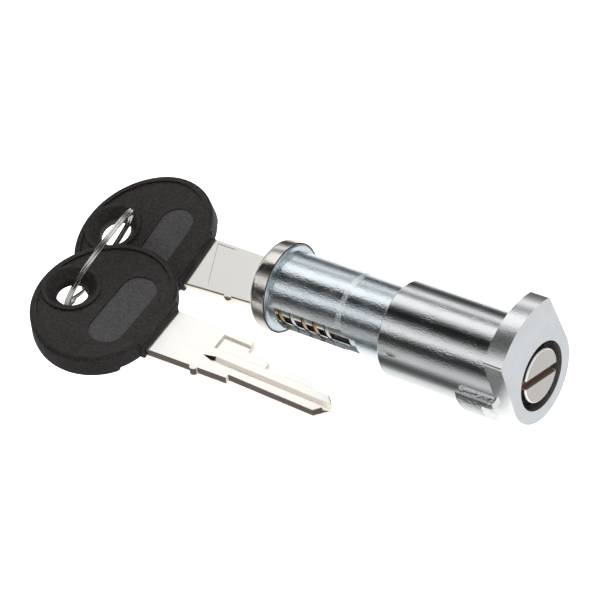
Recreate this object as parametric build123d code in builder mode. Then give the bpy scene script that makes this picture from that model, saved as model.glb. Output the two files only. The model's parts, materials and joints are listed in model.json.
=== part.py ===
"""Cylinder lock with two keys on a split ring.

A zinc shell carries a turning plug with five spring-loaded wafers. The plug drives a
plated sleeve whose end plate is the cam. One key stands in the plug, the other hangs
from it on a split ring.

Frame: millimetres, +X along the lock's axis toward the cam, +Z up, origin on the axis
at the open end of the cam sleeve. The lock lies on its side as on a table.
"""
import os
from math import acos, asin, atan2, cos, degrees, radians, sin, tan

from build123d import *

os.makedirs("parts", exist_ok=True)

# Fits
running_gap = 0.05
sleeve_gap = 0.10
end_gap = 0.10
seat_gap = 0.02

# Direction of the key's width, measured down from the horizontal on the front side
window_tilt = 24.0

# Shell: a thin barrel behind a stepped head
head_face_x = -30.1
head_length = 3.65
shell_length = 50.1
barrel_radius = 7.60
barrel_wall = 0.75
barrel_step = 0.10
step_from_head = 15.55
step_length = 1.20
flange_radius = 8.75
flange_edge = 0.30
flange_width = 1.45

# Pressed cap over the head
cap_radius = 9.05
cap_wall = 0.50
cap_front_round = 1.10
cap_back_round = 0.35
cap_hole_radius = 6.30

# Plug
plug_head_radius = 7.40
plug_head_width = 1.45
keyway_width = 2.20
keyway_end_room = 0.80
tail_side = 8.0
tail_corner = 0.8

# Wafers and their springs
wafer_count = 5
wafer_pitch = 2.70
wafer_from_window = 0.75
wafer_thickness = 0.75
wafer_width = 6.20
wafer_slot_gap = 0.10
wafer_end_gap = 0.15
wafer_travel = 0.60
wafer_hole_gap = 0.15
ear_reach = 4.60
ear_top = 2.20
ear_bottom = 1.00
spring_offset = 3.90
spring_radius = 0.56
spring_wire = 0.26
spring_turns = 5
spring_pocket_radius = 0.95
spring_pocket_floor = -3.0
gap_samples = 240

# Windows in the barrel
window_from_head = 1.30
window_past_wafers = 4.20
window_room = 0.25
window_depth = 1.0
neck_length = 3.0
neck_width = 4.40
quarter_turn = 90.0
half_turn = 180.0

# Cam sleeve
sleeve_radius = 9.525
sleeve_edge = 0.35
sleeve_solid_length = 10.6
cam_thickness = 3.95
cam_radius = 15.875
cam_direction = 67.5
cam_half_span = 34.0
cam_corner = 0.8
counterbore_radius = 6.90
counterbore_depth = 3.40

# Stop lug on the sleeve, with a narrow rib that runs on to the cam
lug_radius = 10.75
lug_from_cam_face = 12.3
lug_length = 5.60
lug_start_angle = 9.0
lug_end_angle = 64.0
rib_end_angle = 19.0
lug_edge = 0.25

# Cam screw and its toothed washer
screw_head_radius = 5.05
screw_head_height = 2.60
screw_head_edge = 0.35
screw_slot_width = 1.70
screw_slot_depth = 1.30
screw_slot_angle = 7.0
screw_shank_radius = 1.95
screw_shank_length = 9.0
washer_thickness = 0.60
washer_ring_radius = 4.70
washer_tooth_radius = 6.35
washer_tooth_count = 14
washer_tooth_width = 0.85
washer_tooth_twist = 20.0

# Key blade, measured from the moulded bow's flat end
key_thickness = 2.0
stem_length = 17.4
stem_half_width = 5.60
stem_taper = 0.95
blade_back = -3.75
blade_edge = 3.30
land_height = 2.90
cut_heights = (1.10, 1.10, 2.90, 2.80, 1.10)
cut_flat = 1.30
tip_past_wafers = 4.42
tip_low = -1.20
tip_high = -0.50
tip_back_length = 2.30
tip_edge_length = 1.30
tip_edge_height = 0.80
blade_offset = 1.45
nib_from_bow = 10.4
nib_radius = 0.80
upper_groove_start = 11.4
upper_groove_low = 0.85
upper_groove_high = 4.40
upper_groove_depth = 0.60
lower_groove_start = 10.6
lower_groove_taper = 2.4
lower_groove_low = -2.30
lower_groove_high = -1.00
lower_groove_depth = 0.75
rear_groove_low = -0.90
rear_groove_high = 0.35
rear_groove_depth = 0.55
tang_length = 13.0
tang_half_width = 4.6
frame_width = 4.2
frame_slant = 3.4
frame_from_bow = 1.6
frame_depth = 0.15

# Moulded bow
bow_length = 27.1
bow_width = 31.0
bow_thickness = 5.0
bow_side_share = 0.45
bow_widest_share = 0.472
bow_round = 0.90
collar_length = 3.0
collar_width = 12.4
collar_edge = 0.30
rim_width = 1.40
field_depth = 0.35
pad_from_end = 8.7
pad_width = 7.2
pad_length = 18.0
pad_depth = 0.20
ring_hole_from_far = 6.6
ring_hole_radius = 3.2
boss_radius = 5.8
dish_radius = 5.0
dish_slope = 45.0

# Loose key: how its bow's flat end lies from the standing key's, and its turn
loose_key_forward = 6.68
loose_key_aside = 4.55
loose_key_rise = 1.67
loose_key_roll = 13.2
loose_key_pitch = 7.3
loose_key_yaw = 2.4

# Split ring: its size, and its lie from the middle between the two ring holes
ring_mean_radius = 10.9
ring_wire_width = 1.10
ring_wire_thickness = 0.52
ring_wire_round = 0.12
ring_normal = (-0.855, -0.175, 0.487)
ring_lift = 1.45
ring_along = -0.90
ring_aside = -0.10
ring_end_gap = 0.60

# Directions and sizes that follow
tilt = radians(window_tilt)
window_dir = (0, -cos(tilt), -sin(tilt))
blade_normal = (0, -sin(tilt), cos(tilt))
bore_radius = barrel_radius - barrel_wall
plug_radius = bore_radius - running_gap
rear_barrel_radius = barrel_radius - barrel_step
sleeve_bore_radius = rear_barrel_radius + sleeve_gap
head_radius = cap_radius - cap_wall - seat_gap
flange_back_x = head_face_x + head_length
shell_end_x = head_face_x + shell_length
sleeve_bore_length = shell_end_x + end_gap
cam_face_x = sleeve_bore_length + sleeve_solid_length
step_start_x = flange_back_x + step_from_head
step_end_x = step_start_x + step_length
window_start_x = flange_back_x + window_from_head
first_wafer_x = window_start_x + wafer_from_window
last_wafer_x = first_wafer_x + (wafer_count - 1) * wafer_pitch
window_end_x = last_wafer_x + window_past_wafers
neck_end_x = window_end_x + neck_length
cap_back_x = flange_back_x - flange_width
cap_inner_x = head_face_x + cap_wall
plug_head_x = cap_inner_x + running_gap
plug_head_back_x = plug_head_x + plug_head_width
counterbore_x = cam_face_x - counterbore_depth
cam_back_x = cam_face_x - cam_thickness
wafer_radius = plug_radius - wafer_end_gap
wafer_hole_half = key_thickness / 2 + wafer_hole_gap
window_width = wafer_width + 2 * window_room
shoulder_x = head_face_x + seat_gap
bow_end_x = shoulder_x - stem_length
blade_tip_x = last_wafer_x + tip_past_wafers
blade_length = blade_tip_x - bow_end_x
bow_side_radius = bow_side_share * bow_length
ring_hole_from_end = bow_length - ring_hole_from_far
lug_start_x = cam_face_x - lug_from_cam_face
lug_end_x = lug_start_x + lug_length
keyway_back = blade_edge - blade_offset + wafer_hole_gap
wafer_hole_back = land_height - blade_offset + wafer_travel
wafer_hole_front = -blade_back + blade_offset + wafer_hole_gap

window_plane = Plane(origin=(0, 0, 0), x_dir=(1, 0, 0), z_dir=window_dir)


def across(x):
    """Plane square to the axis at x; its own X runs toward the window."""
    return Plane(origin=(x, 0, 0), x_dir=window_dir, z_dir=(1, 0, 0))


def wafer_x(index):
    """Middle of a wafer along the axis."""
    return first_wafer_x + index * wafer_pitch


def spring_side(index):
    """Springs stand on either side of the keyway in turn."""
    return 1 if index % 2 == 0 else -1


def fixed_key_plane():
    """Middle plane of the key that stands in the plug, origin at its bow's flat end."""
    origin = (bow_end_x, blade_offset * window_dir[1], blade_offset * window_dir[2])
    return Plane(origin=origin, x_dir=(1, 0, 0), z_dir=blade_normal)


def loose_key_plane():
    """Middle plane of the hanging key, turned by yaw, then pitch, then roll."""
    along = Vector(1, 0, 0).rotate(Axis.Z, loose_key_yaw)
    along = along.rotate(Axis.Y, loose_key_pitch).rotate(Axis.X, loose_key_roll)
    normal = Vector(0, 0, 1).rotate(Axis.Y, loose_key_pitch).rotate(Axis.X, loose_key_roll)
    place = Vector(
        loose_key_forward,
        -(bow_width / 2 + loose_key_aside),
        bow_thickness + loose_key_rise,
    )
    return Plane(
        origin=fixed_key_plane().from_local_coords(place),
        x_dir=along,
        z_dir=normal,
    )


def ring_plane():
    """Middle plane of the split ring, set by the two holes that it passes through."""
    hole = Vector(-ring_hole_from_end, 0, 0)
    first = fixed_key_plane().from_local_coords(hole)
    second = loose_key_plane().from_local_coords(hole)
    middle = (first + second) * 0.5
    between = Plane(origin=middle, x_dir=second - first, z_dir=ring_normal)
    place = Vector(ring_along, ring_lift, ring_aside)
    return Plane(
        origin=between.from_local_coords(place),
        x_dir=between.x_dir,
        z_dir=between.z_dir,
    )


def make_shell():
    """Die-cast barrel and head with two windows a quarter turn apart."""
    with BuildPart() as shell:
        with BuildSketch(Plane.XY):
            with BuildLine():
                Polyline(
                    (cap_inner_x, plug_head_radius + running_gap),
                    (cap_inner_x, head_radius),
                    (cap_back_x, head_radius),
                    (cap_back_x, flange_radius),
                    (flange_back_x - flange_edge, flange_radius),
                    (flange_back_x, flange_radius - flange_edge),
                    (flange_back_x, barrel_radius),
                    (step_start_x, barrel_radius),
                    (step_end_x, rear_barrel_radius),
                    (shell_end_x, rear_barrel_radius),
                    (shell_end_x, bore_radius),
                    (plug_head_back_x, bore_radius),
                    (plug_head_back_x, plug_head_radius + running_gap),
                    close=True,
                )
            make_face()
        revolve(axis=Axis.X)
        cut_from = bore_radius * cos(asin(window_width / 2 / bore_radius)) - window_depth
        for turn in (0, quarter_turn):
            turned = Plane(
                origin=(0, 0, 0),
                x_dir=(1, 0, 0),
                z_dir=Vector(*window_dir).rotate(Axis.X, turn),
            )
            with BuildSketch(turned.offset(cut_from)):
                with Locations(((window_start_x + window_end_x) / 2, 0)):
                    Rectangle(window_end_x - window_start_x, window_width)
                if turn == 0:
                    with Locations(((window_end_x + neck_end_x) / 2, 0)):
                        Rectangle(neck_end_x - window_end_x, neck_width)
            extrude(amount=barrel_radius, mode=Mode.SUBTRACT)
    shell.part.label = "lock_shell"
    export_step(shell.part, "parts/lock_shell.step")


def make_cap():
    """Pressed stainless cap, drawn over the zinc head."""
    with BuildPart() as cap:
        with BuildSketch(Plane.XY):
            with BuildLine():
                Polyline(
                    (head_face_x, cap_hole_radius),
                    (head_face_x, cap_radius),
                    (cap_back_x, cap_radius),
                    (cap_back_x, cap_radius - cap_wall),
                    (cap_inner_x, cap_radius - cap_wall),
                    (cap_inner_x, cap_hole_radius),
                    close=True,
                )
            make_face()
        revolve(axis=Axis.X)
        rims = cap.edges().filter_by(GeomType.CIRCLE).group_by(SortBy.RADIUS)[-1]
        fillet(rims.sort_by(Axis.X)[0], cap_front_round)
        rims = cap.edges().filter_by(GeomType.CIRCLE).group_by(SortBy.RADIUS)[-1]
        fillet(rims.sort_by(Axis.X)[-1], cap_back_round)
    cap.part.label = "head_cap"
    export_step(cap.part, "parts/head_cap.step")


def make_plug():
    """Turning plug: keyway open toward the window, wafer slots, spring pockets, square tail."""
    with BuildPart() as plug:
        with BuildSketch(Plane.XY):
            with BuildLine():
                nose_radius = cap_hole_radius - running_gap
                Polyline(
                    (head_face_x + running_gap, 0),
                    (head_face_x + running_gap, nose_radius),
                    (plug_head_x, nose_radius),
                    (plug_head_x, plug_head_radius),
                    (plug_head_back_x - running_gap, plug_head_radius),
                    (plug_head_back_x - running_gap, plug_radius),
                    (sleeve_bore_length - end_gap, plug_radius),
                    (sleeve_bore_length - end_gap, 0),
                    close=True,
                )
            make_face()
        revolve(axis=Axis.X)
        with BuildSketch(across(sleeve_bore_length - end_gap)):
            RectangleRounded(tail_side, tail_side, tail_corner)
        extrude(amount=counterbore_x - sleeve_bore_length - end_gap)
        keyway_end = blade_tip_x + keyway_end_room
        with BuildSketch(across(head_face_x)):
            with Locations(((wafer_hole_front - keyway_back) / 2, 0)):
                Rectangle(wafer_hole_front + keyway_back, keyway_width)
        extrude(amount=keyway_end - head_face_x, mode=Mode.SUBTRACT)
        with BuildSketch(across(window_start_x)):
            with Locations((plug_radius / 2, 0)):
                Rectangle(plug_radius, keyway_width)
        extrude(amount=keyway_end - window_start_x, mode=Mode.SUBTRACT)
        slot_thickness = wafer_thickness + 2 * wafer_slot_gap
        for index in range(wafer_count):
            with BuildSketch(across(wafer_x(index) - slot_thickness / 2)):
                Rectangle(2 * barrel_radius, wafer_width + 2 * wafer_slot_gap)
            extrude(amount=slot_thickness, mode=Mode.SUBTRACT)
            with BuildSketch(window_plane.offset(spring_pocket_floor)):
                with Locations((wafer_x(index), spring_side(index) * spring_offset)):
                    Circle(spring_pocket_radius)
            extrude(amount=barrel_radius - spring_pocket_floor, mode=Mode.SUBTRACT)
        with BuildSketch(across(counterbore_x - end_gap * 2)):
            Circle(screw_shank_radius + seat_gap)
        extrude(amount=-screw_shank_length, mode=Mode.SUBTRACT)
    plug.part.label = "plug"
    export_step(plug.part, "parts/plug.step")


def make_wafer(index):
    """Brass or steel wafer with a window for the blade and an ear for its spring."""
    with BuildPart() as wafer:
        with BuildSketch(across(wafer_x(index) - wafer_thickness / 2)):
            Circle(wafer_radius)
            Rectangle(2 * wafer_radius, wafer_width, mode=Mode.INTERSECT)
            ear_y = -spring_side(index) * (wafer_width / 2 + ear_reach) / 2
            with Locations(((ear_top + ear_bottom) / 2, ear_y)):
                Rectangle(ear_top - ear_bottom, ear_reach - wafer_width / 2)
            with Locations(((wafer_hole_front - wafer_hole_back) / 2, 0)):
                Rectangle(
                    wafer_hole_front + wafer_hole_back,
                    2 * wafer_hole_half,
                    mode=Mode.SUBTRACT,
                )
        extrude(amount=wafer_thickness)
    wafer.part.label = f"wafer_{index + 1}"
    export_step(wafer.part, f"parts/wafer_{index + 1}.step")


def coil_gap(line):
    """Least clear distance between turns of a spring, measured on points along its line."""
    points = [line @ (step / gap_samples) for step in range(gap_samples + 1)]
    apart = gap_samples // spring_turns // 2
    distances = []
    for first in range(gap_samples + 1 - apart):
        for second in range(first + apart, gap_samples + 1):
            distances.append((points[second] - points[first]).length)
    return min(distances) - spring_wire


def make_wafer_spring(index):
    """Small coil spring that presses a wafer's ear toward the window."""
    low = spring_pocket_floor + seat_gap + spring_wire / 2
    high = ear_bottom - seat_gap - spring_wire / 2
    foot = Vector(wafer_x(index), spring_side(index) * spring_offset, low)
    with BuildPart() as spring:
        with BuildLine() as path:
            Helix(
                (high - low) / spring_turns,
                high - low,
                spring_radius,
                center=window_plane.from_local_coords(foot),
                direction=window_dir,
            )
        with BuildSketch(Plane(origin=path.line @ 0, z_dir=path.line % 0)):
            Circle(spring_wire / 2)
        sweep(path=path.line)
    spring.part.label = f"wafer_spring_{index + 1}"
    export_step(spring.part, f"parts/wafer_spring_{index + 1}.step")
    print(f"wafer_spring_{index + 1}: least gap between turns {coil_gap(path.line):.2f} mm")


def make_cam_sleeve():
    """Plated sleeve with the cam plate on its end and the stop lug on its side."""
    with BuildPart() as sleeve:
        with BuildSketch(across(0)):
            Circle(sleeve_radius)
        extrude(amount=cam_face_x)
        chamfer(sleeve.edges().filter_by(GeomType.CIRCLE).sort_by(Axis.X)[0], sleeve_edge)
        with BuildSketch(across(cam_back_x)):
            add(cam_outline())
        extrude(amount=cam_thickness)
        with BuildSketch(across(lug_start_x)):
            add(lug_outline(lug_end_angle))
        extrude(amount=lug_length)
        with BuildSketch(across(lug_end_x)):
            add(lug_outline(rib_end_angle))
        extrude(amount=cam_back_x - lug_end_x)
        with BuildSketch(across(0)):
            Circle(sleeve_bore_radius)
        extrude(amount=sleeve_bore_length, mode=Mode.SUBTRACT)
        with BuildSketch(across(counterbore_x)):
            Circle(counterbore_radius)
        extrude(amount=counterbore_depth, mode=Mode.SUBTRACT)
        with BuildSketch(across(sleeve_bore_length)):
            side = tail_side + 2 * seat_gap
            RectangleRounded(side, side, tail_corner)
        extrude(amount=counterbore_x - sleeve_bore_length, mode=Mode.SUBTRACT)
    sleeve.part.label = "cam_sleeve"
    export_step(sleeve.part, "parts/cam_sleeve.step")


def front_angle(degrees_up):
    """Local angle, on a plane square to the axis, of a direction above the front horizontal."""
    return -(degrees_up + window_tilt)


def polar(radius, degrees_up):
    """Point on a plane square to the axis, by radius and angle above the front horizontal."""
    turn = radians(front_angle(degrees_up))
    return (radius * cos(turn), radius * sin(turn))


def cam_outline():
    """Cam plate: an arc of the large radius, joined to the hub by tangent sides."""
    reach = degrees(acos(sleeve_radius / cam_radius))
    first = cam_direction - cam_half_span
    last = cam_direction + cam_half_span
    with BuildSketch(mode=Mode.PRIVATE) as outline:
        with BuildLine():
            lobe = ThreePointArc(
                polar(cam_radius, first),
                polar(cam_radius, cam_direction),
                polar(cam_radius, last),
            )
            Line(lobe @ 1, polar(sleeve_radius, last + reach))
            Line(lobe @ 0, polar(sleeve_radius, first - reach))
            ThreePointArc(
                polar(sleeve_radius, last + reach),
                polar(sleeve_radius, cam_direction + half_turn),
                polar(sleeve_radius, first - reach),
            )
        make_face()
        far_corners = outline.vertices().sort_by(lambda v: v.center().length)[-2:]
        fillet(far_corners, cam_corner)
    return outline.sketch


def lug_outline(end_angle):
    """Arc-shaped pad on the sleeve's lower front side, down to an angle."""
    middle = -(lug_start_angle + end_angle) / 2
    root = sleeve_radius - sleeve_edge
    with BuildSketch(mode=Mode.PRIVATE) as outline:
        with BuildLine():
            outer = ThreePointArc(
                polar(lug_radius, -lug_start_angle),
                polar(lug_radius, middle),
                polar(lug_radius, -end_angle),
            )
            inner = ThreePointArc(
                polar(root, -lug_start_angle),
                polar(root, middle),
                polar(root, -end_angle),
            )
            Line(outer @ 0, inner @ 0)
            Line(outer @ 1, inner @ 1)
        make_face()
        far_corners = outline.vertices().sort_by(lambda v: v.center().length)[-2:]
        fillet(far_corners, lug_edge)
    return outline.sketch


def make_screw():
    """Slotted round-head screw that holds the sleeve on the plug's tail."""
    head_x = counterbore_x + washer_thickness
    with BuildPart() as screw:
        with BuildSketch(across(head_x)):
            Circle(screw_head_radius)
        extrude(amount=screw_head_height)
        top = screw.edges().filter_by(GeomType.CIRCLE).sort_by(Axis.X)[-1]
        fillet(top, screw_head_edge)
        with BuildSketch(across(head_x + screw_head_height)):
            Rectangle(
                2 * counterbore_radius,
                screw_slot_width,
                rotation=front_angle(screw_slot_angle),
            )
        extrude(amount=-screw_slot_depth, mode=Mode.SUBTRACT)
        with BuildSketch(across(head_x)):
            Circle(screw_shank_radius)
        extrude(amount=-screw_shank_length)
    screw.part.label = "cam_screw"
    export_step(screw.part, "parts/cam_screw.step")


def make_washer():
    """External-tooth lock washer: a flat ring with twisted teeth."""
    middle_x = counterbore_x + washer_thickness / 2
    flat = washer_thickness / 2
    with BuildPart() as washer:
        with BuildSketch(across(middle_x)):
            Circle(washer_ring_radius)
            Circle(screw_shank_radius + sleeve_gap, mode=Mode.SUBTRACT)
        extrude(amount=flat / 2, both=True)
        tooth_length = washer_tooth_radius - washer_ring_radius + flat
        with Locations(across(middle_x)):
            with PolarLocations(washer_tooth_radius - tooth_length / 2, washer_tooth_count):
                Box(tooth_length, washer_tooth_width, flat, rotation=(washer_tooth_twist, 0, 0))
    washer.part.label = "lock_washer"
    export_step(washer.part, "parts/lock_washer.step")


def blade_outline():
    """Side view of the key blade with its stem, shoulders and cuts."""
    cuts = []
    for index, height in enumerate(cut_heights):
        middle = wafer_x(index) - bow_end_x
        cuts.insert(0, (middle - cut_flat / 2, height))
        cuts.insert(0, (middle + cut_flat / 2, height))
    with BuildSketch(mode=Mode.PRIVATE) as outline:
        with BuildLine():
            Polyline(
                (0, -stem_half_width),
                (stem_length, -stem_half_width + stem_taper),
                (stem_length, blade_back),
                (blade_length - tip_back_length, blade_back),
                (blade_length, tip_low),
                (blade_length, tip_high),
                (blade_length - tip_edge_length, tip_edge_height),
                *cuts,
                (wafer_x(0) - bow_end_x - cut_flat / 2, land_height),
                (stem_length, blade_edge),
                (stem_length, stem_half_width),
                (0, stem_half_width),
                close=True,
            )
        make_face()
        with Locations((nib_from_bow, -stem_half_width + stem_taper * nib_from_bow / stem_length)):
            Circle(nib_radius)
    return outline.sketch


def make_blade(key, plane, framed):
    """Nickel-plated key blade, milled on both faces, with its tang inside the bow."""
    half = key_thickness / 2
    cut_end = blade_length + half
    with BuildPart() as blade:
        with BuildSketch(plane):
            add(blade_outline())
            with Locations((-tang_length / 2, 0)):
                Rectangle(tang_length, 2 * tang_half_width)
        extrude(amount=half, both=True)
        with BuildSketch(plane.offset(half)):
            middle = (upper_groove_low + upper_groove_high) / 2
            with Locations(((upper_groove_start + cut_end) / 2, middle)):
                Rectangle(cut_end - upper_groove_start, upper_groove_high - upper_groove_low)
        extrude(amount=-upper_groove_depth, mode=Mode.SUBTRACT)
        with BuildSketch(plane.offset(half)):
            full = lower_groove_start + lower_groove_taper
            with BuildLine():
                Polyline(
                    (lower_groove_start, (lower_groove_low + lower_groove_high) / 2),
                    (full, lower_groove_low),
                    (cut_end, lower_groove_low),
                    (cut_end, lower_groove_high),
                    (full, lower_groove_high),
                    close=True,
                )
            make_face()
        extrude(amount=-lower_groove_depth, mode=Mode.SUBTRACT)
        with BuildSketch(plane.offset(-half)):
            middle = (rear_groove_low + rear_groove_high) / 2
            with Locations(((upper_groove_start + cut_end) / 2, middle)):
                Rectangle(cut_end - upper_groove_start, rear_groove_high - rear_groove_low)
        extrude(amount=rear_groove_depth, mode=Mode.SUBTRACT)
        if framed:
            reach = stem_half_width - rim_width / 2
            with BuildSketch(plane.offset(half)):
                with BuildLine():
                    Polyline(
                        (frame_from_bow, reach),
                        (frame_from_bow + frame_width, reach),
                        (frame_from_bow + frame_width + frame_slant, -reach + stem_taper),
                        (frame_from_bow + frame_slant, -reach + stem_taper),
                        close=True,
                    )
                make_face()
            extrude(amount=-frame_depth, mode=Mode.SUBTRACT)
    blade.part.label = key + "_blade"
    export_step(blade.part, "parts/" + key + "_blade.step")


def bow_outline(inset=0.0):
    """Egg-shaped bow outline of tangent arcs."""
    side_offset = bow_width / 2 - bow_side_radius
    reach = bow_length * (1 - bow_widest_share)
    far_radius = (reach**2 + side_offset**2 - bow_side_radius**2) / (reach - bow_side_radius) / 2
    far_sweep = degrees(atan2(side_offset, far_radius - reach))
    side_end = degrees(asin(side_offset / bow_side_radius))
    with BuildSketch(mode=Mode.PRIVATE) as outline:
        with BuildLine():
            far = JernArc((-bow_length, 0), (0, 1), far_radius, -far_sweep)
            JernArc(far @ 1, far % 1, bow_side_radius, far_sweep - side_end - half_turn)
            mirror(about=Plane.XZ)
        make_face()
        if inset:
            offset(amount=-inset)
    return outline.sketch


def make_collar(plane):
    """Straight end of the bow, where the blade leaves it."""
    with BuildPart(mode=Mode.PRIVATE) as collar:
        with BuildSketch(plane):
            with Locations((-collar_length / 2, 0)):
                Rectangle(collar_length, collar_width)
        extrude(amount=bow_thickness / 2, both=True)
        end = collar.faces().sort_by(Axis(plane.origin, plane.x_dir))[-1]
        fillet(end.edges(), collar_edge)
    return collar.part


def make_bow(key, plane):
    """Moulded bow with a raised rim, a sunk field and pad, a dished ring hole and a collar."""
    half = bow_thickness / 2
    dish_depth = (dish_radius - ring_hole_radius) / tan(radians(dish_slope))
    normal = Axis(plane.origin, plane.z_dir)
    with BuildPart() as bow:
        with BuildSketch(plane):
            add(bow_outline())
        extrude(amount=half, both=True)
        flats = bow.faces().sort_by(normal)
        fillet(flats[0].edges() + flats[-1].edges(), bow_round)
        add(make_collar(plane))
        for side in (1, -1):
            face = plane.offset(side * half)
            with BuildSketch(face):
                add(bow_outline(rim_width))
                with Locations((-ring_hole_from_end, 0)):
                    Circle(boss_radius, mode=Mode.SUBTRACT)
            extrude(amount=-side * field_depth, mode=Mode.SUBTRACT)
            with BuildSketch(face):
                with Locations((-pad_from_end, 0)):
                    SlotOverall(pad_length, pad_width, rotation=quarter_turn)
            extrude(amount=-side * (field_depth + pad_depth), mode=Mode.SUBTRACT)
        with BuildSketch(plane.offset(half)):
            with Locations((-ring_hole_from_end, 0)):
                Circle(dish_radius)
        extrude(amount=-dish_depth, taper=dish_slope, mode=Mode.SUBTRACT)
        with BuildSketch(plane.offset(-half)):
            with Locations((-ring_hole_from_end, 0)):
                Circle(dish_radius)
        extrude(amount=dish_depth, taper=dish_slope, mode=Mode.SUBTRACT)
        with BuildSketch(plane):
            with Locations((-ring_hole_from_end, 0)):
                Circle(ring_hole_radius)
        extrude(amount=half, both=True, mode=Mode.SUBTRACT)
        with BuildSketch(plane):
            with Locations((-tang_length / 2, 0)):
                Rectangle(tang_length + 2 * seat_gap, 2 * tang_half_width + 2 * seat_gap)
        extrude(amount=key_thickness / 2 + seat_gap, both=True, mode=Mode.SUBTRACT)
    bow.part.label = key + "_bow"
    export_step(bow.part, "parts/" + key + "_bow.step")


def make_ring():
    """Split ring: two turns of flat wire pressed together, open at one end of each."""
    plane = ring_plane()
    section = Plane(
        origin=plane.from_local_coords(Vector(ring_mean_radius, 0, 0)),
        x_dir=plane.x_dir,
        z_dir=-plane.y_dir,
    )
    turn_offset = (ring_wire_thickness - seat_gap) / 2
    with BuildPart() as ring:
        with BuildSketch(section):
            with Locations((0, turn_offset), (0, -turn_offset)):
                RectangleRounded(ring_wire_width, ring_wire_thickness, ring_wire_round)
        revolve(axis=Axis(plane.origin, plane.z_dir))
        for side in (1, -1):
            with BuildSketch(plane.offset(side * seat_gap)):
                with Locations((side * ring_mean_radius, 0)):
                    Rectangle(2 * ring_wire_width, ring_end_gap)
            extrude(amount=side * ring_wire_thickness, mode=Mode.SUBTRACT)
    ring.part.label = "key_ring"
    export_step(ring.part, "parts/key_ring.step")


make_shell()
make_cap()
make_plug()
make_cam_sleeve()
make_screw()
make_washer()
for number in range(wafer_count):
    make_wafer(number)
    make_wafer_spring(number)
make_blade("key_1", fixed_key_plane(), True)
make_bow("key_1", fixed_key_plane())
make_blade("key_2", loose_key_plane(), False)
make_bow("key_2", loose_key_plane())
make_ring()
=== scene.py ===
# %% [markdown]
# # Cylinder lock with two keys on a split ring
#
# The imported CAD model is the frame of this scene. Every piece is placed where the CAD puts it, in metres, with
# +X along the lock's axis toward the cam and +Z up. Each step below dresses one real piece or makes one real
# finish. Cells that start with `[markdown]` explain the step, and the cell after them does it.

# %% Load the frame
import json
from math import cos, pi, radians, sin

import bmesh
import bpy
from mathutils import Matrix, Vector

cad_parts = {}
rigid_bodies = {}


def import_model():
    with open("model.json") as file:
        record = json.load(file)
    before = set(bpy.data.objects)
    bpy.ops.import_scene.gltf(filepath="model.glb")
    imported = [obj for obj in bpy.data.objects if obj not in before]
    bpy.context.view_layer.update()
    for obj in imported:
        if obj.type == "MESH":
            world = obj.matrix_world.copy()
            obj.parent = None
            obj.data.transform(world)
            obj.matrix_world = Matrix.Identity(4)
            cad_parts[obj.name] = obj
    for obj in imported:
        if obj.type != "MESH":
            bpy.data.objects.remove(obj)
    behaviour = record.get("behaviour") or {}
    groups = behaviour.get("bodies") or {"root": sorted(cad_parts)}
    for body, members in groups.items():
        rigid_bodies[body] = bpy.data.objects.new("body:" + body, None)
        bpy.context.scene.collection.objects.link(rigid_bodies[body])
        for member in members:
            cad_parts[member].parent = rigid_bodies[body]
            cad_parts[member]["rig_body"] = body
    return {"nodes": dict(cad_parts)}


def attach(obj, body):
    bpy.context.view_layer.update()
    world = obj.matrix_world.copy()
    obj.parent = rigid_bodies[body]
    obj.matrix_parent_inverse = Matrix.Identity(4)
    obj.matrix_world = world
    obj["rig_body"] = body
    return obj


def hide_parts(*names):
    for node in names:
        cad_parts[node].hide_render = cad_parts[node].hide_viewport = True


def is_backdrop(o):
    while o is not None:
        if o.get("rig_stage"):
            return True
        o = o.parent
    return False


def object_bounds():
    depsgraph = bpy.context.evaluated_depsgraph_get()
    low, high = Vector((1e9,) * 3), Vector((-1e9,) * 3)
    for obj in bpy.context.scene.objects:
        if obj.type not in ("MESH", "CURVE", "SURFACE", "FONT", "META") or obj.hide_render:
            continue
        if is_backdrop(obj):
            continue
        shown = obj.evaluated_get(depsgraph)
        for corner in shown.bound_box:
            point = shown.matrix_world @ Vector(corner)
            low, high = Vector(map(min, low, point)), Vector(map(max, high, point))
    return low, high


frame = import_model()
cad_low, cad_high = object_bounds()
nodes = frame["nodes"]
MM = 0.001
print("nodes:", len(nodes), "size in mm:", [round(s / MM, 1) for s in cad_high - cad_low])

# %% [markdown]
# ## Camera
# A product picture like this is taken from a long way off, so that a small thing keeps its proportions. That is
# a long lens far away, not a wide one close by. The camera looks from the front, from the cam's end and from
# above, and leans a little to one side. Directions say this more plainly than angles would.

# %% Camera
camera_back = Vector((0.51221, -0.66779, 0.54009))
camera_up = Vector((-0.28486, 0.46116, 0.84035))
camera_place = Vector((392.25, -543.33, 437.43)) * MM
camera_data = bpy.data.cameras.new("camera")
camera_data.sensor_width = 36.0
camera_data.lens = 254.71
camera_data.clip_start = 0.05
camera_data.clip_end = 20.0
camera = bpy.data.objects.new("camera", camera_data)
bpy.context.scene.collection.objects.link(camera)
camera_right = camera_up.cross(camera_back).normalized()
camera_up = camera_back.cross(camera_right).normalized()
camera_axes = Matrix((camera_right, camera_up, camera_back.normalized())).transposed()
camera.matrix_world = Matrix.Translation(camera_place) @ camera_axes.to_4x4()
bpy.context.scene.camera = camera
print("camera stands", round(camera_place.length, 3), "m away")

# %% [markdown]
# ## Colours and nodes
# Colours are written as they look on a screen, as hex values, and one function turns them into the linear
# values that a renderer needs. One more helper adds a node to any tree: its settings are keywords, and its
# inputs come as a dictionary, where a pair of node and output makes a link and anything else is a value.


# %% Helpers for colours and nodes
def hex_colour(text):
    """Linear colour from an sRGB hex value, by that standard's own formula."""
    values = [int(text[i : i + 2], 16) / 255 for i in (1, 3, 5)]
    linear = [v / 12.92 if v <= 0.04045 else ((v + 0.055) / 1.055) ** 2.4 for v in values]
    return (*linear, 1.0)


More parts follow.
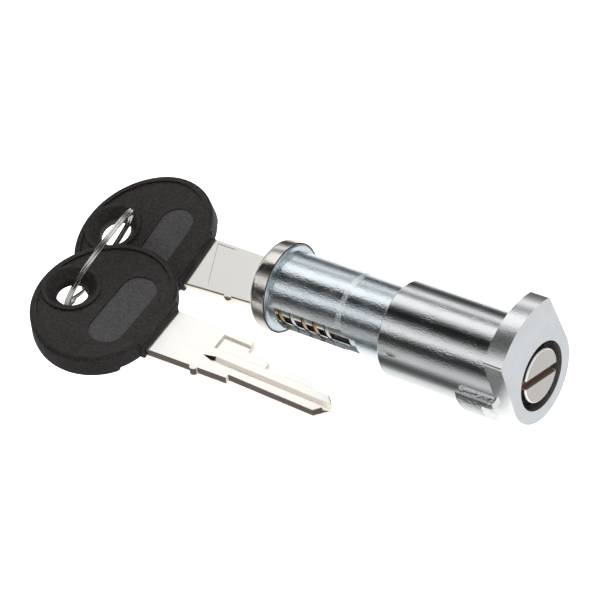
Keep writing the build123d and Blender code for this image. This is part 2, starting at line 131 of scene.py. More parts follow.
def add_node(tree, kind, inputs=None, **settings):
    """Add a node: settings by name, inputs as {socket: value, node or (node, output)}."""
    node = tree.nodes.new(kind)
    for key, value in settings.items():
        setattr(node, key, value)
    for socket, source in (inputs or {}).items():
        if isinstance(source, bpy.types.Node):
            source = (source, 0)
        if isinstance(source, tuple) and isinstance(source[0], bpy.types.Node):
            tree.links.new(source[0].outputs[source[1]], node.inputs[socket])
        else:
            node.inputs[socket].default_value = source
    return node


print("mid grey is", round(hex_colour("#808080")[0], 3), "in linear light")

# %% [markdown]
# ## Studio
# Polished metal shows its surroundings more than itself. A photographer stands a small bright object in a
# light tent: white cloth all round, with strips of black card on it. The curved metal squeezes the whole tent
# into narrow bands, and those bands draw its roundness. Here the tent is the world's background. Its
# brightness depends only on the angle round the lock's long axis, so each strip of cloth or card runs
# parallel to the lock, and all of it is fixed in space.
#
# The strips' places and brightness were worked out from the photograph. Its brightness was read round the
# sleeve every three degrees, and the mirror law says which direction each reading shows. The steps below
# follow those readings, with more contrast, because the sleeve blurs what it mirrors. They light the scene and
# colour no piece. The steps of the table's light, further down, come from the same readings.

# %% Light tent: brightness by angle above the front horizon
# Pairs of angle in degrees and brightness, from readings of the photograph
tent_bands = [
    (-90, 0.88), (-6, 0.10), (-1, 0.03), (6, 0.03), (11, 0.05), (17, 0.27), (23, 0.72),
    (29, 0.88), (38, 0.68), (44, 0.40), (50, 0.14), (56, 0.03), (68, 0.01), (74, 0.04),
    (80, 0.22), (86, 0.58), (93, 0.93), (104, 1.00), (110, 0.84), (115, 0.45), (120, 0.25),
    (126, 0.46), (132, 0.82), (138, 0.84), (144, 0.40), (151, 0.14), (160, 0.05), (168, 0.08),
    (174, 0.22), (182, 0.55), (192, 0.88), (270, 0.92),
]
tent_strength, tent_blue = 1.12, 1.01
full_circle = 360
world = bpy.data.worlds.new("light_tent")
world.use_nodes = True
tree = world.node_tree
direction = add_node(tree, "ShaderNodeTexCoord")
parts = add_node(tree, "ShaderNodeSeparateXYZ", {0: (direction, "Generated")})
angle = add_node(tree, "ShaderNodeMath", {0: (parts, "Y"), 1: (parts, "Z")}, operation="ARCTAN2")
share = add_node(tree, "ShaderNodeMapRange", {"Value": angle, "From Min": -pi, "From Max": pi})
ramp = add_node(tree, "ShaderNodeValToRGB", {0: share})
while len(ramp.color_ramp.elements) < len(tent_bands):
    ramp.color_ramp.elements.new(0.5)
for element, (height, light) in zip(ramp.color_ramp.elements, tent_bands):
    element.position = (height - tent_bands[0][0]) / full_circle
    element.color = (light, light, light * tent_blue, 1.0)
tree.links.new(ramp.outputs[0], tree.nodes["Background"].inputs["Color"])
tree.nodes["Background"].inputs["Strength"].default_value = tent_strength
bpy.context.scene.world = world
print("tent has", len(tent_bands), "bands")

# %% [markdown]
# The floor is plain pale paper. It lies deep, because the keys hang far below the lock when they swing. What
# the metal sees below itself is not the same as what the camera sees of the floor: a product stands on a table,
# and in front of the lock that table falls away into the dark room. So a second sheet lies just under the lock,
# where a table would be. It gives off a soft light that fades toward the front, and only reflections see it.
# White cards hang over the keys for the same reason: flat polished keys shine only when they mirror a card.


# %% Floor
def flat_sheet(name, low, high, height, material):
    """A level rectangle from corner to corner, in millimetres; part of the stage."""
    mesh = bpy.data.meshes.new(name)
    corners = [(low[0], low[1]), (high[0], low[1]), (high[0], high[1]), (low[0], high[1])]
    mesh.from_pydata([(x * MM, y * MM, height) for x, y in corners], [], [(0, 1, 2, 3)])
    mesh.materials.append(material)
    sheet = bpy.data.objects.new(name, mesh)
    bpy.context.scene.collection.objects.link(sheet)
    sheet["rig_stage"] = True
    return sheet


paper = bpy.data.materials.new("pale_paper")
paper.use_nodes = True
paper_shader = paper.node_tree.nodes["Principled BSDF"]
paper_shader.inputs["Base Color"].default_value = hex_colour("#F6F6F6")
paper_shader.inputs["Roughness"].default_value = 0.9
paper_shader.inputs["Emission Color"].default_value = hex_colour("#FFFFFF")
paper_shader.inputs["Emission Strength"].default_value = 0.75
floor_z = -70 * MM
sheet_corners = (-3000, -3000), (3000, 3000)
flat_sheet("floor", *sheet_corners, floor_z, paper)
print("floor at", round(floor_z / MM, 2), "mm")


# %% Sheets that only metal sees
def glow_material(name, strength):
    """A material that only gives off light."""
    material = bpy.data.materials.new(name)
    material.use_nodes = True
    tree = material.node_tree
    tree.nodes.clear()
    glow = add_node(tree, "ShaderNodeEmission", {"Strength": strength})
    add_node(tree, "ShaderNodeOutputMaterial", {"Surface": glow})
    return material


def seen_by_metal_only(sheet):
    """Hide a card from everything but reflections."""
    sheet.visible_camera = False
    sheet.visible_diffuse = False
    sheet.visible_shadow = False
    sheet.visible_transmission = False


table_glow = glow_material("paper_seen_in_metal", 1.15)
print("first glow:", table_glow.name)

# %% What the metal sees of the table
# Pairs of millimetres behind the lock's axis and brightness, from readings of the photograph
table_light = [
    (-120.0, 0.06), (-105.0, 0.10), (-59.0, 0.25), (-42.0, 0.43), (-32.0, 0.53), (-26.0, 0.58),
    (-22.0, 0.47), (-19.3, 0.26), (-17.0, 0.12), (-15.0, 0.08), (-13.6, 0.09), (-12.3, 0.14),
    (-11.1, 0.27), (-10.1, 0.52), (-9.2, 0.70), (-8.2, 0.80), (-6.0, 0.90), (-4.0, 1.00),
    (60.0, 1.00),
]
nearest, farthest = table_light[0][0], table_light[-1][0]
# Past the cam's end the paper is fully lit
lit_from_x, lit_fully_x = 22.0, 26.0
table_z = cad_low.z - 0.01 * MM
tree = table_glow.node_tree
place = add_node(tree, "ShaderNodeTexCoord")
parts = add_node(tree, "ShaderNodeSeparateXYZ", {0: (place, "Object")})
share = add_node(
    tree,
    "ShaderNodeMapRange",
    {"Value": (parts, "Y"), "From Min": nearest * MM, "From Max": farthest * MM},
)
ramp = add_node(tree, "ShaderNodeValToRGB", {0: share})
while len(ramp.color_ramp.elements) < len(table_light):
    ramp.color_ramp.elements.new(0.5)
for element, (y, light) in zip(ramp.color_ramp.elements, table_light):
    element.position = (y - nearest) / (farthest - nearest)
    element.color = (light, light, light, 1.0)
past_cam = add_node(
    tree,
    "ShaderNodeMapRange",
    {"Value": (parts, "X"), "From Min": lit_from_x * MM, "From Max": lit_fully_x * MM},
)
table_mix = add_node(
    tree, "ShaderNodeMix", {0: past_cam, 6: ramp, 7: (1.0, 1.0, 1.0, 1.0)}, data_type="RGBA"
)
tree.links.new(table_mix.outputs[2], tree.nodes["Emission"].inputs["Color"])
seen_by_metal_only(flat_sheet("table_seen_in_metal", *sheet_corners, table_z, table_glow))
print("the metal's table lies at", round(table_z / MM, 2), "mm")

# %% Cards over the keys
card_height = 50 * MM
# Name, two corners in millimetres, glow and its strength
cards = (
    ("card_over_bows", (-125, -10), (-60, 14), "card_dim", 0.80),
    ("card_over_blade", (-60, -10), (-24, 14), "card_bright", 1.15),
)
for name, low, high, glow, strength in cards:
    seen_by_metal_only(flat_sheet(name, low, high, card_height, glow_material(glow, strength)))
print("cards hang", card_height / MM, "mm up")

# %% [markdown]
# The tent lights the paper and the plastic too, and two large soft boxes add to it. The boxes are hidden from
# reflections, so the metal keeps the tent's bands. The Standard view transform leaves brightness as it is, so
# white paper comes out white.


# %% Lamps for the paper and the plastic
def soft_lamp(name, place, toward, size, power):
    """A square soft box that polished metal doesn't mirror."""
    data = bpy.data.lights.new(name, "AREA")
    data.size = size
    data.energy = power
    lamp = bpy.data.objects.new(name, data)
    bpy.context.scene.collection.objects.link(lamp)
    lamp.location = place
    lamp.rotation_mode = "QUATERNION"
    lamp.rotation_quaternion = (Vector(place) - Vector(toward)).to_track_quat("Z", "Y")
    lamp.visible_glossy = False


middle = (cad_low + cad_high) / 2
soft_lamp("lamp_overhead", (-0.1, 0.05, 0.8), middle, size=1.2, power=9.0)
soft_lamp("lamp_front", (0.3, -0.7, 0.5), middle, size=0.9, power=3.0)
bpy.context.scene.view_settings.view_transform = "Standard"

# %% [markdown]
# ## Metal finishes
# A metal's base colour is what it reflects straight on, and its roughness is how far a polish or a plating
# bath has smoothed it. What makes metal look real is that neither is even. So each finish has two noises: a
# coarse one that makes cloudy patches a few millimetres wide, and a fine one, the grain, that lifts and lowers
# the surface. Real grain is finer than one pixel here, so it is drawn about a third of a millimetre wide and a
# few hundredths high. Where dirt or haze hides part of a metal, its metallic value is a little below one.


# %% One function for the metals, and the first of them
# Nearly all values of a noise lie between these two, and no polish is smoother than the third
noise_low, noise_high = 0.35, 0.65
best_polish = 0.03


def metal_finish(
    name, colour, roughness, patches, grain_mm, grain_um, clouds_mm=3.0, metallic=1.0
):
    """A metal: its roughness and how far patches vary it, then the grain's width and height."""
    material = bpy.data.materials.new(name)
    material.use_nodes = True
    tree = material.node_tree
    shader = tree.nodes["Principled BSDF"]
    shader.inputs["Base Color"].default_value = hex_colour(colour)
    shader.inputs["Metallic"].default_value = metallic
    place = add_node(tree, "ShaderNodeTexCoord", name="place")
    clouds = add_node(
        tree,
        "ShaderNodeTexNoise",
        {"Vector": (place, "Object"), "Scale": 1 / (clouds_mm * MM), "Detail": 3.0},
        name="clouds",
    )
    rough = add_node(
        tree,
        "ShaderNodeMapRange",
        {
            "Value": clouds,
            "From Min": noise_low,
            "From Max": noise_high,
            "To Min": max(roughness - patches, best_polish),
            "To Max": roughness + patches,
        },
        name="rough",
    )
    tree.links.new(rough.outputs[0], shader.inputs["Roughness"])
    grain = add_node(
        tree,
        "ShaderNodeTexNoise",
        {"Vector": (place, "Object"), "Scale": 1 / (grain_mm * MM), "Detail": 2.0},
        name="grain",
    )
    relief = add_node(
        tree, "ShaderNodeBump", {"Height": grain, "Distance": grain_um * MM * MM}, name="relief"
    )
    tree.links.new(relief.outputs[0], shader.inputs["Normal"])
    return material


# Zinc die casting with a thin bright plating: the casting's fine pebbled skin shows as a grain
zinc = metal_finish("die_cast_zinc_plated", "#E6EFF4", 0.18, 0.05, 0.36, 48.0)
print("nodes in the zinc:", len(zinc.node_tree.nodes))

# %% Metals of the barrel and the cap
# The little step round the barrel, where the two halves of the die meet, is hazy, so it isn't quite a
# mirror, and it is painted paler as a highlight where its slope catches the light
zinc_step = metal_finish("die_cast_zinc_hazy_painted_highlight", "#EEF5F8", 0.28, 0.08, 0.60, 90.0, metallic=0.9)
# The head's back is as cast: duller and darker than the barrel
zinc_slope = metal_finish("die_cast_zinc_as_cast", "#C6D0D6", 0.28, 0.08, 0.5, 60.0)
# Skin of the turning plug: the same zinc, run in and smoother
plug_skin = metal_finish("die_cast_zinc_run_in", "#D3DADE", 0.22, 0.05, 0.4, 20.0)
# Drawn stainless sheet, buffed: smooth and a little warm, so its bands are clear
stainless = metal_finish("pressed_stainless_buffed", "#E4DFDA", 0.16, 0.06, 0.7, 24.0, 2.0)
# The cap's cut lip is dull, and painted dark as the shadow in the gap behind it: a dark line round the head
cap_lip = metal_finish("stainless_lip_painted_shadow", "#4A4542", 0.50, 0.08, 0.5, 12.0)
print("finishes of the barrel and the cap:", zinc_step.name, "to", cap_lip.name)

# %% Metals of the sleeve, the washer and the screw
# Bright chrome plating on turned steel: the smoothest piece, with nearly black and white bands
chrome = metal_finish("turned_steel_chrome_plated", "#E2E5E6", 0.07, 0.03, 0.34, 40.0, 5.0)
# The cam's end is ground flat before plating: an even satin grey that mirrors nothing clearly
cam_satin = metal_finish("ground_end_chrome_plated", "#C6C9CC", 0.42, 0.05, 0.5, 25.0)
# The cam's edge was sawn and tumbled before plating: bright, with coarser patches than the sleeve
cam_rim = metal_finish(
    "sawn_edge_chrome_plated", "#E6E8E8", 0.11, 0.04, 0.5, 16.0, 1.5, metallic=0.92
)
# The lug is as forged under its plating: bright lumps and dark pits
lug_forged = metal_finish("forged_lug_chrome_plated", "#E4E6E6", 0.12, 0.06, 0.80, 150.0, 1.2)
# Walls of the counterbore: left dull by thin plating and oil, and painted dark as the shade in the deep well
well_dark = metal_finish("counterbore_oiled_painted_shade", "#7C7672", 0.30, 0.08, 0.5, 60.0, metallic=0.6)
# Nickel-plated steel screw: warm and satin
screw_nickel = metal_finish("screw_nickel_plated", "#B0ADA9", 0.26, 0.06, 0.6, 25.0)
# The screw's rim is rounded by tumbling and painted near white as a highlight: a thin bright line
screw_rim = metal_finish("screw_rim_painted_highlight", "#F4F2EE", 0.30, 0.05, 0.5, 10.0, metallic=0.5)
# The bottom and walls of the driver slot hold dark brown residue
slot_brown = metal_finish("screw_slot_dull", "#8F7B70", 0.40, 0.05, 0.35, 4.0, metallic=0.6)
# Spring steel washer, blued dark by its heat treatment
washer_steel = metal_finish("spring_steel_blued", "#6E6A66", 0.28, 0.08, 0.3, 2.0)
print("finishes of the sleeve and the screw:", chrome.name, "to", washer_steel.name)

# %% Metals of the keys and the ring
# Rolled nickel silver, plated and tumbled: pale, warm and slightly satin
key_nickel = metal_finish("key_blank_nickel_plated", "#F2F0EB", 0.15, 0.03, 0.6, 3.0)
# Milled walls of the grooves and cuts: bare nickel silver, rough, and painted light beige as the reflection of
# the table they face
key_wall = metal_finish("key_milled_wall_painted_reflection", "#E9DFD2", 0.50, 0.08, 0.4, 20.0, metallic=0.2)
# Sheared edges of the key blank, painted dark brown as shade; the same colour is painted as shade in the
# grooves' starts and the stem's frame
key_edge = metal_finish("key_blank_edge_painted_shade", "#786B64", 0.32, 0.10, 0.5, 200.0)
# Cold-drawn flat spring wire: bright, with a fine lengthwise polish
ring_wire = metal_finish("ring_wire_nickel_plated", "#D8D5D0", 0.16, 0.04, 0.3, 1.5)
print("finishes of the keys and the ring:", key_nickel.name, "to", ring_wire.name)

# %% Metals behind the window
# Plug casting, dark with graphite grease and with painted shade on the faces inside its slots and keyway
plug_grease_and_shade = metal_finish("plug_zinc_greased_painted_shade", "#6F6F70", 0.38, 0.10, 0.4, 6.0)
# Stamped wafers: cartridge brass and plated steel
wafer_brass = metal_finish("wafer_brass_stamped", "#B8976A", 0.30, 0.08, 0.4, 20.0)
wafer_steel = metal_finish("wafer_steel_stamped", "#DAD8D4", 0.28, 0.08, 0.4, 20.0)
# Music wire of the wafer springs
spring_wire = metal_finish("spring_music_wire", "#9C9C9C", 0.30, 0.05, 0.3, 1.0)
print("finishes behind the window:", plug_grease_and_shade.name, "to", spring_wire.name)

# %% [markdown]
# ## Scratches and dents
# The sleeve turns in its housing, and locks rattle against each other in a bin. That leaves streaks along the
# axis, where the tool that turned the sleeve also left its lines, and small bright dents. Dents are cells of a
# Voronoi pattern: each cell draws a random number, and only a few of them get a hollow at their centre. A
# pattern that is squeezed along X comes out long in that direction.


# %% Dents in a finish
def add_dents(material, cell_mm, share, width, depth_um, stretch):
    """Small hollows in some cells of a pattern, on top of the relief that the material has."""
    tree = material.node_tree
    normal = tree.nodes["Principled BSDF"].inputs["Normal"]
    before = normal.links[0].from_node
    space = add_node(
        tree, "ShaderNodeMapping", {"Vector": (tree.nodes["place"], "Object"), "Scale": stretch}
    )
    cells = add_node(tree, "ShaderNodeTexVoronoi", {"Vector": space, "Scale": 1 / (cell_mm * MM)})
    chance = add_node(tree, "ShaderNodeSeparateColor", {"Color": (cells, "Color")})
    chosen = add_node(tree, "ShaderNodeMath", {0: (chance, "Red"), 1: share}, operation="LESS_THAN")
    hollow = add_node(
        tree,
        "ShaderNodeMapRange",
        {"Value": (cells, "Distance"), "From Max": width, "To Min": -1.0, "To Max": 0.0},
    )
    dents = add_node(tree, "ShaderNodeMath", {0: chosen, 1: hollow}, operation="MULTIPLY")
    relief = add_node(
        tree, "ShaderNodeBump", {"Height": dents, "Distance": depth_um * MM * MM, "Normal": before}
    )
    tree.links.new(relief.outputs[0], normal)


add_dents(zinc, cell_mm=2.6, share=0.22, width=0.12, depth_um=60, stretch=(0.5, 1, 1))
add_dents(cam_satin, cell_mm=2.4, share=0.12, width=0.12, depth_um=30, stretch=(1, 0.7, 1))
print("nodes in the zinc now:", len(zinc.node_tree.nodes))

# %% Streaks, pebbled patches and dents on the chrome
streak_width, streak_height = 0.42 * MM, 4.0 * MM * MM
tree = chrome.node_tree
shader = tree.nodes["Principled BSDF"]
stretched = add_node(
    tree, "ShaderNodeMapping", {"Vector": (tree.nodes["place"], "Object"), "Scale": (0.05, 1, 1)}
)
streaks = add_node(
    tree, "ShaderNodeTexNoise", {"Vector": stretched, "Scale": 1 / streak_width, "Detail": 3.0}
)
streak_haze = add_node(
    tree,
    "ShaderNodeMapRange",
    {"Value": streaks, "From Min": 0.48, "From Max": 0.72, "To Min": 0.04, "To Max": 0.18},
)
tree.links.new(streak_haze.outputs[0], shader.inputs["Roughness"])
clouds = tree.nodes["clouds"]
pebbled = add_node(
    tree,
    "ShaderNodeMapRange",
    {"Value": clouds, "From Min": 0.42, "From Max": 0.62, "To Min": 0.25, "To Max": 1.0},
)
tree.links.new(pebbled.outputs[0], tree.nodes["relief"].inputs["Strength"])
streak_relief = add_node(
    tree,
    "ShaderNodeBump",
    {"Height": streaks, "Distance": streak_height, "Normal": tree.nodes["relief"]},
)
tree.links.new(streak_relief.outputs[0], shader.inputs["Normal"])
add_dents(chrome, cell_mm=0.9, share=0.25, width=0.20, depth_um=12, stretch=(0.5, 1, 1))
add_dents(chrome, cell_mm=2.2, share=0.16, width=0.13, depth_um=40, stretch=(0.4, 1, 1.8))
print("nodes in the chrome:", len(tree.nodes))

# %% [markdown]
# ## Black plastic
# The bows are moulded over the blades in black nylon. The mould was spark-eroded, which leaves a fine even grain
# and makes the plastic look matt. The oval pad was polished in the mould, so it is smoother and mirrors a little
# more of the tent, and it looks lighter. The grain's height also picks the colour, from nearly black in the
# hollows to dark grey on the peaks: a painted sheen where the peaks catch the light.


# %% Moulded nylon
def nylon_finish(name, hollow_colour, peak_colour, roughness, grain_um):
    """Black moulded plastic with spark-eroded grain, whose peaks are painted a little paler as a sheen."""
    material = metal_finish(name, peak_colour, roughness, 0.05, 0.42, grain_um, metallic=0.0)
    tree = material.node_tree
    peak_sheen = add_node(tree, "ShaderNodeValToRGB", {0: tree.nodes["grain"]})
    hollow, peak = peak_sheen.color_ramp.elements
    hollow.position, peak.position = noise_low, noise_high
    hollow.color, peak.color = hex_colour(hollow_colour), hex_colour(peak_colour)
    tree.links.new(peak_sheen.outputs[0], tree.nodes["Principled BSDF"].inputs["Base Color"])
    return material


bow_grained = nylon_finish("nylon_black_spark_grained", "#030101", "#1E1714", 0.60, 60.0)
bow_polished = nylon_finish("nylon_black_smooth_pad", "#1E1C1D", "#312F30", 0.42, 25.0)
print("plastics:", bow_grained.name, bow_polished.name)

# %% [markdown]
# ## The keys' own axes
# Both keys lie at a slant, so it helps to look at them in their own axes: along the blade from the bow's flat
# end, across it, and out of its face. A matrix takes a point there and back.


# %% Key axes
def key_axes(place_mm, along, out):
    """Matrix from a key's own axes, in metres, to the lock's."""
    along = Vector(along).normalized()
    out = Vector(out).normalized()
    axes = Matrix((along, out.cross(along), out)).transposed().to_4x4()
    return Matrix.Translation(Vector(place_mm) * MM) @ axes


window_tilt = radians(24.0)
standing_key = key_axes(
    (-47.48, -1.325, -0.590), (1, 0, 0), (0, -sin(window_tilt), cos(window_tilt))
)
loose_key = key_axes(
    (-40.80, -22.354, -2.652), (0.99102, 0.06976, -0.11403), (0.12706, -0.22650, 0.96568)
)
for name, axes in (("standing", standing_key), ("loose", loose_key)):
    print(name, "key's face looks toward", [round(v, 3) for v in axes.to_3x3() @ Vector((0, 0, 1))])

# %% [markdown]
# ## Finished copies of the CAD pieces
# The machined and moulded pieces already have their true shape in the CAD. What they lack is the small
# rounding that every real edge has after tumbling, plating or moulding, and that catches the light. A copy of
# the mesh is merged, its flat areas are joined to whole faces, its sharp edges get a small bevel, and it takes
# the node's place. Some faces get a second finish, picked by where they are.

# %% Copy, round and dress a CAD piece
merge_within = 0.0001 * MM
flat_within = radians(0.4)
sharp_from = 0.5  # radians
creased_from = radians(30)


def finished_copy(piece, node, finish, edge_mm, others=(), rework=None):
    """Replace a CAD node by a copy with rounded edges and its finishes.

    others are pairs of a finish and a test of a face's place and normal; rework changes the form.
    """
    mesh = nodes[node].data.copy()
    mesh.name = piece
    form = bmesh.new()
    form.from_mesh(mesh)
    bmesh.ops.remove_doubles(form, verts=form.verts, dist=merge_within)
    bmesh.ops.dissolve_limit(
        form, angle_limit=flat_within, verts=form.verts, edges=form.edges, delimit={"NORMAL"}
    )
    if rework:
        rework(form)
    paired = [e for e in form.edges if len(e.link_faces) == 2]
    bmesh.ops.bevel(
        form,
        geom=[e for e in paired if e.calc_face_angle(0) > sharp_from],
        offset=edge_mm * MM,
        offset_type="OFFSET",
        segments=2,
        profile=0.5,
        affect="EDGES",
        clamp_overlap=True,
    )
    bmesh.ops.triangulate(form, faces=form.faces)
    form.to_mesh(mesh)
    form.free()
    mesh.materials.clear()
    mesh.materials.append(finish)
    for number, (other, here) in enumerate(others, start=1):
        mesh.materials.append(other)
        for face in mesh.polygons:
            if here(face.center / MM, face.normal):
                face.material_index = number
    mesh.shade_smooth()
    mesh.set_sharp_from_angle(angle=creased_from)
    made = bpy.data.objects.new(piece, mesh)
    bpy.context.scene.collection.objects.link(made)
    # Large flat faces decide the shading of their corners, so flats stay flat beside a round edge
    even = made.modifiers.new("even_normals", "WEIGHTED_NORMAL")
    even.weight = 100
    even.keep_sharp = True
    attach(made, nodes[node]["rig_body"])
    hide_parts(node)
    print(piece, "has", len(mesh.polygons), "triangles")


print("edges are rounded from", round(sharp_from * 180 / pi, 1), "degrees up")

# %% [markdown]
# ## Barrel and plug
# The barrel and the plug are zinc die castings. A casting is never even: the step where the die's halves meet
# is hazy and painted pale as a highlight, the back of the head is left as cast, and the plug is dark with grease
# and painted shade except where its skin rubs in the bore. One mesh can carry several finishes, so each face
# asks a few tests about its place, in millimetres, and about its normal, whose share of a direction is one when
# it looks straight that way.

# %% Barrel and plug
step_from_x, step_to_x, step_radius = -10.95, -9.65, 7.3
head_end_x, head_slope_radius, slope_share = -24.0, 7.7, 0.15
straight = 0.9


def radius_of(place):
    """Distance from the lock's axis."""
    return (place.y**2 + place.z**2) ** 0.5


# The step's faces are painted pale as a highlight
def on_step(place, normal):
    """The step round the barrel."""
    return step_from_x < place.x < step_to_x and radius_of(place) > step_radius


def on_slope(place, normal):
    """The head's back, which looks toward the cam."""
    on_head = place.x < head_end_x and radius_of(place) > head_slope_radius
    return on_head and normal.x > slope_share


def on_plug_skin(place, normal):
    """The plug's round outside."""
    outward = Vector((0, place.y, place.z)).normalized()
    return normal.dot(outward) > straight


barrel_finishes = [(zinc_step, on_step), (zinc_slope, on_slope)]
finished_copy("barrel_cast", "lock_shell", zinc, edge_mm=0.10, others=barrel_finishes)
# Faces that don't look outward keep the dark finish: painted shade inside the plug, with grease
plug_finishes = [(plug_skin, on_plug_skin)]
finished_copy("plug_cast", "plug", plug_grease_and_shade, edge_mm=0.08, others=plug_finishes)

# %% [markdown]
# ## Sleeve with its cam
# The sleeve is one turned piece with its cam and its stop lug. The cam's end face is ground and satin, its edge
# is sawn and bright, the lug is as forged, the well round the screw is dark, and the rest is bright chrome.

# %% Sleeve with its cam
cam_rim_from_x, cam_rim_radius = 26.8, 7.4
cam_face_from_x, cam_face_radius = 30.4, 6.9
well_from_x, well_radius = 27.2, 6.95
lug_from_x, lug_to_x, lug_foot_radius = 18.3, 26.7, 9.6
end_on = 0.95


def on_cam_rim(place, normal):
    """The edge round the cam plate, clear of the well."""
    outside = place.x > cam_rim_from_x and radius_of(place) > cam_rim_radius
    return outside and abs(normal.x) < end_on


def on_lug(place, normal):
    """The stop lug, which stands out from the sleeve."""
    return lug_from_x < place.x < lug_to_x and radius_of(place) > lug_foot_radius


def on_cam_face(place, normal):
    """The cam's ground end."""
    at_end = place.x > cam_face_from_x and radius_of(place) > cam_face_radius
    return at_end and normal.x > straight


# The well's faces are painted dark as shade
def in_well(place, normal):
    """Floor and wall of the counterbore."""
    return place.x > well_from_x and radius_of(place) < well_radius


sleeve_finishes = [
    (cam_rim, on_cam_rim),
    (lug_forged, on_lug),
    (cam_satin, on_cam_face),
    (well_dark, in_well),
]
finished_copy(
    "sleeve_with_cam", "cam_sleeve", chrome, edge_mm=0.22, others=sleeve_finishes
)

# %% [markdown]
# ## Screw
# A slotted cheese-head screw, nickel-plated. Its slot holds dark residue, and its rim is painted bright as a
# highlight. The head sits level with the cam's end and nearly fills the well, so its vertices are moved a
# little before the edges are rounded.

# %% Screw
slot_floor_x, slot_top_x, slot_reach = 29.1, 30.4, 4.8
head_foot_x, head_middle_x = 27.8, 28.5
head_lift, head_spread = 0.17, 1.06
rim_from_x, rim_radius = 30.1, 4.6


def raise_head(form):
    """Lift the head level with the cam and spread it in the well."""
    for vertex in form.verts:
        if vertex.co.x > head_middle_x * MM:
            vertex.co.x += head_lift * MM
        if vertex.co.x > head_foot_x * MM:
            vertex.co.y *= head_spread
            vertex.co.z *= head_spread


def in_slot(place, normal):
    """Floor and walls of the driver slot."""
    return slot_floor_x < place.x < slot_top_x and radius_of(place) < slot_reach


def on_screw_rim(place, normal):
    """The rounded rim of the head, painted bright as a highlight."""
    return place.x > rim_from_x and radius_of(place) > rim_radius and normal.x < end_on


screw_finishes = [(slot_brown, in_slot), (screw_rim, on_screw_rim)]
finished_copy(
    "screw_slotted",
    "cam_screw",
    screw_nickel,
    edge_mm=0.06,
    others=screw_finishes,
    rework=raise_head,
)

# %% [markdown]
# ## Key blades
# A blade is cut from a milled strip. The milling cutter has a slanted side, so one wall of each groove leans,
# and that wall mirrors the table while the face mirrors a white card. The CAD groove has square walls, so the
# vertices at the foot of that wall are moved inward. The standing key's grooves start deeper in the lock, under
# the cap.
#
# The blank's edges were sheared. The blade is cut along one level, and each side of it gets its own finish:
# below it the near edge stays bright, and above it the edge is painted dark brown as shade. The milled walls are
# painted beige as the reflection they show, and dark is painted as shade where a groove starts and in the bare
# frame on the stem.

# %% Key blades
# All in millimetres in the key's own axes: along, across and out of the face
groove_foot = (0.2, 0.3)
groove_high, groove_lean, same_line = -1.00, 0.45, 0.01
start_along, start_across, start_depth = (10.5, 13.1), (-2.4, -0.95), (0.1, 0.99)
all_starts_across = (-2.35, 4.42)
standing_start, start_keep = 17.2, 0.05
frame_along, frame_depth = (1.0, 10.0), (0.88, 0.99)
near_edge, stem_end = -1.8, 1.0
wall_share, edge_share = 0.3, 0.4


def between(value, limits):
    """Whether a value lies between two limits."""
    return limits[0] < value < limits[1]


def dress_blade(number, axes, shaded_above):
    """Finish the form of a key's blade and dress it."""
    to_key = axes.inverted()
    turn_in = to_key.to_3x3()

    def finish_blade(form):
        """Lean the wall, move the standing key's groove starts and cut where the edge's painted shade starts."""
        for vertex in form.verts:
            place = to_key @ vertex.co / MM
            if between(place.z, groove_foot) and abs(place.y - groove_high) < same_line:
                place.y -= groove_lean
            starts = between(place.x, start_along) and between(place.y, all_starts_across)
            if number == 1 and starts and place.z > start_depth[0]:
                place.x = standing_start + start_keep * place.x
            vertex.co = axes @ (place * MM)
        bmesh.ops.bisect_plane(
            form,
            geom=[*form.verts, *form.edges, *form.faces],
            plane_co=axes @ Vector((0, 0, shaded_above * MM)),
            plane_no=axes.to_3x3() @ Vector((0, 0, 1)),
        )

    def on_wall(place, normal):
        """Milled walls that look along the key or toward its near edge."""
        normal = turn_in @ normal
        return abs(normal.z) < straight and normal.y < wall_share

    def on_edge(place, normal):
        """The upper part of the near edge, painted dark as shade, and the stem's foot at the bow."""
        place = to_key @ (place * MM) / MM
        normal = turn_in @ normal
        upper_shaded = normal.y < -wall_share and place.y < near_edge and place.z > shaded_above
        return abs(normal.z) < edge_share and (upper_shaded or place.x < stem_end)

    def in_recess_shade(place, normal):
        """The grooves' starts and the frame on the stem, painted dark as shade."""
        place = to_key @ (place * MM) / MM
        in_groove = between(place.x, start_along) and between(place.y, start_across)
        in_start = in_groove and between(place.z, start_depth)
        in_frame = between(place.x, frame_along) and between(place.z, frame_depth)
        return (in_start or in_frame) and abs((turn_in @ normal).z) < straight

    finishes = [(key_wall, on_wall), (key_edge, on_edge), (key_edge, in_recess_shade)]
    blade = f"key_{number}_blade"
    finished_copy(
        blade + "_milled",
        blade,
        key_nickel,
        edge_mm=0.06,
        others=finishes,
        rework=finish_blade,
    )


print("groove starts of the standing key lie", standing_start, "mm along it")

# %% [markdown]
# ## Key bows
# The bow is one moulding, with an oval pad on each side. Below, the mould leaves its square corners thinner
# than the rest, so they are pressed together there.

# %% Key bows, then both keys
pad_level, pad_within, pad_start = 1.95, 0.04, -13.0
corner_start, corner_half_width = -3.3, 4.0
corner_bottom, corner_keep = -1.1, 0.1


def dress_bow(number, axes):
    """Finish the form of a key's bow and dress it."""
    to_key = axes.inverted()

    def thin_corners(form):
        """Press the square lower corners together."""
        for vertex in form.verts:
            place = to_key @ vertex.co / MM
            in_corner = place.x > corner_start and abs(place.y) > corner_half_width
            if in_corner and place.z < corner_bottom:
                place.z = corner_bottom + corner_keep * (place.z - corner_bottom)
                vertex.co = axes @ (place * MM)

    def on_pad(place, normal):
        """The oval pads, known by their level."""
        place = to_key @ (place * MM) / MM
        return abs(abs(place.z) - pad_level) < pad_within and place.x > pad_start

    bow = f"key_{number}_bow"
    finished_copy(
        bow + "_moulded",
        bow,
        bow_grained,
        edge_mm=0.12,
        others=[(bow_polished, on_pad)],
        rework=thin_corners,
    )


